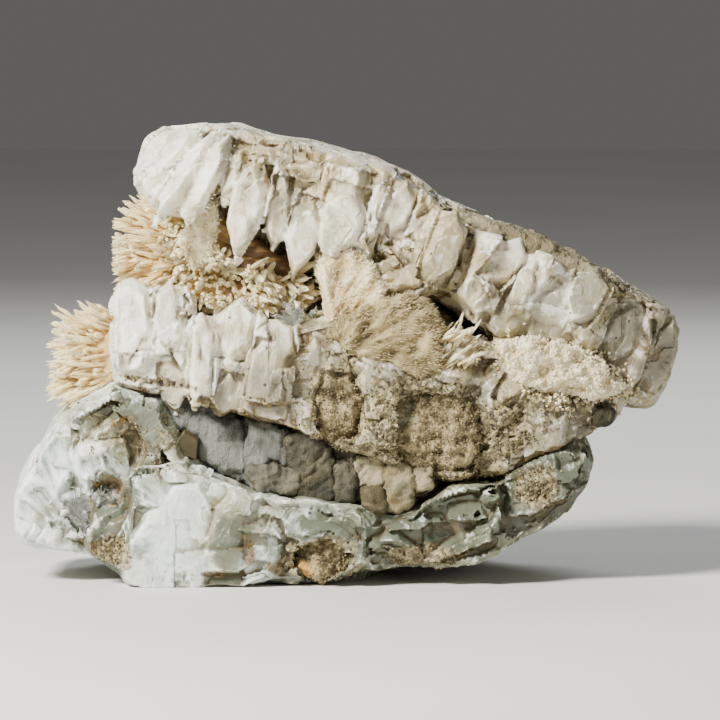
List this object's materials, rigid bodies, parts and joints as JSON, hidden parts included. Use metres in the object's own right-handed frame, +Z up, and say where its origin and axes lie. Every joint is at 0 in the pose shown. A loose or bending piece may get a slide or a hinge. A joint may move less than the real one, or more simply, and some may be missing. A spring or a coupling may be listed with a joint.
{
  "type": "celestine with calcite specimen",
  "caption": "Loose mineral specimen: white to beige bladed celestine in bands, with golden calcite spikes in open pockets and a grey limestone parting.",
  "frame": {"origin": "under the middle of the specimen's overall box, on the surface that it rests on", "axes": "+X along the longest side, from the blunt left end to the right tip; -Y out of the front, which shows the open pockets; +Z up"},
  "size_m": [0.181, 0.0846, 0.123],
  "materials": {
    "ivory_celestine": "translucent, pearly on cleavage faces",
    "white_celestine": "translucent, pearly on cleavage faces",
    "aqua_celestine": "translucent, glassy on fresh breaks",
    "clear_celestine": "clear, glassy",
    "golden_calcite": "satin",
    "cream_calcite": "rough, chalky",
    "amber_calcite": "glassy, iron-stained",
    "grey_limestone": "dull, finely grained",
    "ochre_limestone": "dull, finely grained",
    "brown_crust": "granular, rough"
  },
  "bodies": {
    "root": {"upper_celestine": "ivory_celestine", "middle_celestine": "white_celestine", "lower_celestine": "aqua_celestine", "limestone_parting": "grey_limestone", "limestone_flake_1": "grey_limestone", "limestone_flake_2": "grey_limestone", "limestone_flake_3": "grey_limestone", "limestone_flake_4": "grey_limestone", "limestone_flake_5": "ochre_limestone", "limestone_flake_6": "ochre_limestone", "limestone_flake_7": "ochre_limestone", "limestone_flake_8": "ochre_limestone", "top_rind": "ochre_limestone", "rock_knob": "grey_limestone", "brown_crust_1": "brown_crust", "brown_crust_2": "brown_crust", "base_crust": "brown_crust", "upper_calcite_cluster": "golden_calcite", "lower_calcite_cluster": "golden_calcite", "calcite_flake": "cream_calcite", "calcite_sheaf": "cream_calcite", "calcite_fan": "cream_calcite", "cream_calcite_crust": "cream_calcite", "amber_crystal": "amber_calcite", "pocket_crystals": "clear_celestine", "cavity_crystals": "clear_celestine"}
  },
  "joints": []
}
